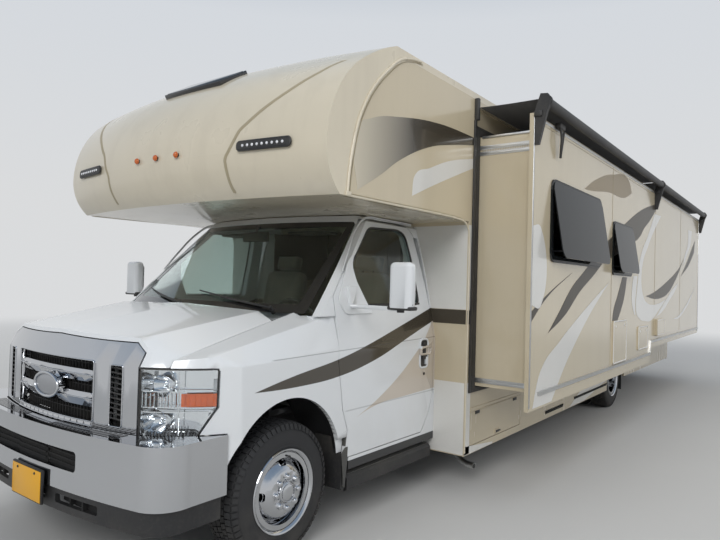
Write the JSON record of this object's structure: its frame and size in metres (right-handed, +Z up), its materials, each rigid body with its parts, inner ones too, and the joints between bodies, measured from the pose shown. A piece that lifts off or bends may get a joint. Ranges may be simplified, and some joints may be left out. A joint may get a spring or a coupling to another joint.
{
  "type": "class c motorhome",
  "caption": "Long over-cab motorhome on a van cutaway chassis, with a full-length slide-out room, doors, hood, steering and free-turning wheels.",
  "frame": {"origin": "On the ground below the middle of the bounding box.", "axes": "+X is the driver's side with the slide-out, the vehicle faces -Y, +Z is up."},
  "size_m": [3.241, 10.0708, 3.3204],
  "materials": {
    "frame_black": "satin black chassis paint",
    "cast_grey": "rough cast metal",
    "tyre": "dark tyre rubber",
    "wheel_chrome": "bright wheel cover",
    "tank_black": "moulded tank",
    "exhaust_steel": "dull aluminised steel",
    "cab_white": "gloss white paint",
    "clear_glass": "lightly tinted glass",
    "bright_chrome": "bright chrome plating",
    "lamp_clear": "clear lamp covers",
    "trim_black": "grained black plastic",
    "mirror_white": "white housings",
    "dash_grey": "grey moulded fascia",
    "seat_cloth": "tan seat cloth",
    "flap_rubber": "black rubber sheet",
    "floor_board": "laminated floor",
    "coach_beige": "glossy laminated sidewall with painted stripes",
    "roof_cream": "cream moulded shell",
    "dark_glass": "dark tinted glass",
    "ladder_aluminium": "bright tube",
    "roof_white": "white mouldings",
    "slide_aluminium": "painted trim rail",
    "seal_black": "black bulb seal",
    "topper_cloth": "black awning cloth"
  },
  "bodies": {
    "coach": {"chassis_frame": "frame_black", "engine": "cast_grey", "front_axle": "frame_black", "rear_axle": "frame_black", "underfloor_tubs": "tank_black", "exhaust": "exhaust_steel", "cab_body": "cab_white", "windscreen": "clear_glass", "front_fenders": "cab_white", "grille": "bright_chrome", "headlights": "lamp_clear", "front_bumper": "bright_chrome", "bumper_valance": "trim_black", "dashboard": "dash_grey", "seats": "seat_cloth", "running_boards": "trim_black", "mud_flaps": "flap_rubber", "coach_floor": "floor_board", "left_wall": "coach_beige", "right_wall": "coach_beige", "front_wall": "coach_beige", "rear_wall": "coach_beige", "coach_roof": "roof_cream", "overcab": "roof_cream", "skirts": "coach_beige", "windows": "dark_glass", "lamps": "lamp_clear", "rear_bumper": "trim_black", "ladder": "ladder_aluminium", "roof_unit": "roof_white", "roof_vents": "roof_white", "awning": "roof_white", "slide_seal": "seal_black"},
    "slide_out": {"slide_box": "coach_beige", "slide_windows": "dark_glass", "slide_hatches": "roof_white", "slide_trim": "slide_aluminium", "topper_roller": "trim_black", "topper_fabric": "topper_cloth"},
    "left_cab_door": {"cab_door_left": "cab_white", "door_glass_left": "clear_glass", "mirror_left": "mirror_white"},
    "right_cab_door": {"cab_door_right": "cab_white", "door_glass_right": "clear_glass", "mirror_right": "mirror_white"},
    "hood_lid": {"hood": "cab_white"},
    "entry": {"entry_door": "coach_beige"},
    "left_luggage_door": {"luggage_door_left": "coach_beige"},
    "right_luggage_door": {"luggage_door_right": "coach_beige"},
    "left_knuckle": {"knuckle_left": "cast_grey"},
    "right_knuckle": {"knuckle_right": "cast_grey"},
    "front_left_wheel": {"front_tyre_left": "tyre", "front_wheel_left": "wheel_chrome"},
    "front_right_wheel": {"front_tyre_right": "tyre", "front_wheel_right": "wheel_chrome"},
    "rear_left_wheels": {"rear_tyres_left": "tyre", "rear_wheels_left": "wheel_chrome"},
    "rear_right_wheels": {"rear_tyres_right": "tyre", "rear_wheels_right": "wheel_chrome"}
  },
  "joints": [
    {"name": "steer_left", "type": "hinge", "parent": "coach", "child": "left_knuckle", "pos_m": [0.4995, -4.1505, 0.366], "axis": [0, 0, 1], "range_deg": [-32, 32]},
    {"name": "steer_right", "type": "hinge", "parent": "coach", "child": "right_knuckle", "pos_m": [-0.9005, -4.1505, 0.366], "axis": [0, 0, 1], "range_deg": [-32, 32]},
    {"name": "spin_front_left", "type": "hinge", "parent": "left_knuckle", "child": "front_left_wheel", "pos_m": [0.681, -4.1505, 0.366], "axis": [1, 0, 0], "continuous": true},
    {"name": "spin_front_right", "type": "hinge", "parent": "right_knuckle", "child": "front_right_wheel", "pos_m": [-1.082, -4.1505, 0.366], "axis": [1, 0, 0], "continuous": true},
    {"name": "spin_rear_left", "type": "hinge", "parent": "coach", "child": "rear_left_wheels", "pos_m": [0.7695, 1.5645, 0.366], "axis": [1, 0, 0], "continuous": true},
    {"name": "spin_rear_right", "type": "hinge", "parent": "coach", "child": "rear_right_wheels", "pos_m": [-1.1705, 1.5645, 0.366], "axis": [1, 0, 0], "continuous": true},
    {"name": "cab_door_left_hinge", "type": "hinge", "parent": "coach", "child": "left_cab_door", "pos_m": [0.8055, -3.7275, 0.9], "axis": [0, 0, -1], "range_deg": [0, 65]},
    {"name": "cab_door_right_hinge", "type": "hinge", "parent": "coach", "child": "right_cab_door", "pos_m": [-1.2065, -3.7275, 0.9], "axis": [0, 0, 1], "range_deg": [0, 65]},
    {"name": "hood_hinge", "type": "hinge", "parent": "coach", "child": "hood_lid", "pos_m": [-0.2005, -4.0905, 1.352], "axis": [-1, 0, 0], "range_deg": [0, 45]},
    {"name": "entry_hinge", "type": "hinge", "parent": "coach", "child": "entry", "pos_m": [-1.4653, -0.6915, 1.4], "axis": [0, 0, 1], "range_deg": [0, 100]},
    {"name": "luggage_left_hinge", "type": "hinge", "parent": "coach", "child": "left_luggage_door", "pos_m": [1.0613, -2.0355, 0.574], "axis": [0, -1, 0], "range_deg": [0, 85]},
    {"name": "luggage_right_hinge", "type": "hinge", "parent": "coach", "child": "right_luggage_door", "pos_m": [-1.4623, -1.5505, 0.574], "axis": [0, 1, 0], "range_deg": [0, 85]},
    {"name": "slide_travel", "type": "slide", "parent": "coach", "child": "slide_out", "axis": [1, 0, 0], "range_m": [-0.4, 0], "deforming": ["topper_fabric"]}
  ],
  "couplings": [
    {"joint": "steer_right", "follows": "steer_left", "ratio": 1}
  ]
}
